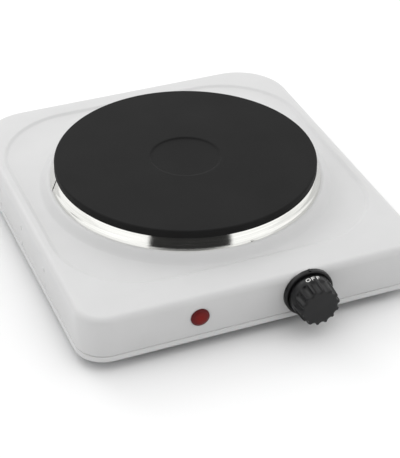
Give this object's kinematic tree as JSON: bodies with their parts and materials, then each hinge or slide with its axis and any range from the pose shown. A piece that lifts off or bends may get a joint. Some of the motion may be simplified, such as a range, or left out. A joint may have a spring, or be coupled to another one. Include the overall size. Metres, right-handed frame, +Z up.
{
  "type": "electric hot plate",
  "caption": "Free-standing single electric hot plate: white pressed-steel housing, round cast-iron plate in a stainless ring, front control knob and red indicator lamp.",
  "frame": {"origin": "on the worktop under the middle of the whole object's outline, from the knob's front face to the cord gland's rear face; the plate's axis stands 9 mm behind it", "axes": "+Z up, along the cooking plate's axis; the knob and lamp are on the -Y side and +X is to the right as the user faces the knob"},
  "size_m": [0.2472, 0.2938, 0.06],
  "materials": {
    "white_lacquer": "satin white stove enamel on pressed steel",
    "galvanised_steel": "galvanised, dull",
    "plated_steel": "zinc plated",
    "black_rubber": "matt",
    "cast_iron": "black coated, fine turned grain",
    "stainless_steel": "bright polished stainless steel",
    "element_alloy": "oxidised resistance alloy",
    "element_cement": "pressed magnesia cement",
    "ceramic": "unglazed steatite",
    "brass": "turned",
    "contact_bronze": "rolled spring bronze",
    "bimetal": "rolled strip",
    "black_plastic": null,
    "red_lens": "translucent dark red",
    "neon_glass": "clear",
    "white_plastic": "moulded",
    "brown_insulation": "silicone sleeve",
    "black_insulation": "silicone sleeve",
    "blue_insulation": "silicone sleeve",
    "white_insulation": "silicone sleeve",
    "green_yellow_insulation": "silicone sleeve"
  },
  "bodies": {
    "housing": {"top_housing": "white_lacquer", "base_plate": "galvanised_steel", "base_screws": "plated_steel", "foot_front_left": "black_rubber", "foot_front_right": "black_rubber", "foot_rear_left": "black_rubber", "foot_rear_right": "black_rubber", "foot_screws": "plated_steel", "front_brace": "galvanised_steel", "rear_brace": "galvanised_steel", "clamp_bracket": "galvanised_steel", "side_rivets": "white_lacquer", "cast_iron_plate": "cast_iron", "trim_ring": "stainless_steel", "inner_heating_coil": "element_alloy", "outer_heating_coil": "element_alloy", "insulating_cement": "element_cement", "heater_cover": "galvanised_steel", "element_pins": "element_alloy", "ceramic_beads": "ceramic", "coil_links": "element_alloy", "centre_stud": "plated_steel", "stud_sleeve": "plated_steel", "clamp_washer": "plated_steel", "clamp_nut": "plated_steel", "heat_shield": "galvanised_steel", "thermal_cutout": "ceramic", "cutout_clip": "plated_steel", "thermostat_frame": "plated_steel", "thermostat_bush": "brass", "thermostat_screws": "plated_steel", "stack_insulators": "ceramic", "stack_rivet": "plated_steel", "contact_blade_root": "contact_bronze", "fixed_contact_blade": "contact_bronze", "bimetal_strip": "bimetal", "knob_bezel": "black_plastic", "lamp_lens": "red_lens", "neon_bulb": "neon_glass", "lamp_body": "white_plastic", "lamp_clip": "plated_steel", "terminal_block": "ceramic", "terminal_screws": "plated_steel", "earth_terminal": "brass", "cord_gland": "black_plastic", "gland_nut": "black_plastic", "live_wire": "brown_insulation", "switched_wire": "black_insulation", "element_wire": "black_insulation", "neutral_wire": "blue_insulation", "lamp_live_wire": "white_insulation", "lamp_neutral_wire": "white_insulation", "earth_wire": "green_yellow_insulation"},
    "knob": {"knob": "black_plastic", "spindle": "plated_steel", "knob_spring_clip": "plated_steel"},
    "push_pin": {"push_pin": "ceramic"},
    "contact_arm": {"contact_arm": "contact_bronze"}
  },
  "joints": [
    {"name": "knob_turn", "type": "hinge", "parent": "housing", "child": "knob", "pos_m": [0.033, -0.1263, 0.0263], "axis": [0, 1, 0], "range_deg": [0, 285]},
    {"name": "push_pin_travel", "type": "slide", "parent": "housing", "child": "push_pin", "axis": [0, 1, 0], "range_m": [0, 0.0008]},
    {"name": "contact_arm_tilt", "type": "hinge", "parent": "housing", "child": "contact_arm", "pos_m": [0.0512, -0.1052, 0.0263], "axis": [0, 0, -1], "range_deg": [0, 2.5]}
  ],
  "couplings": [
    {"joint": "push_pin_travel", "follows": "knob_turn", "m_per_rad": 0.00016},
    {"joint": "contact_arm_tilt", "follows": "knob_turn", "ratio": 0.0087}
  ]
}
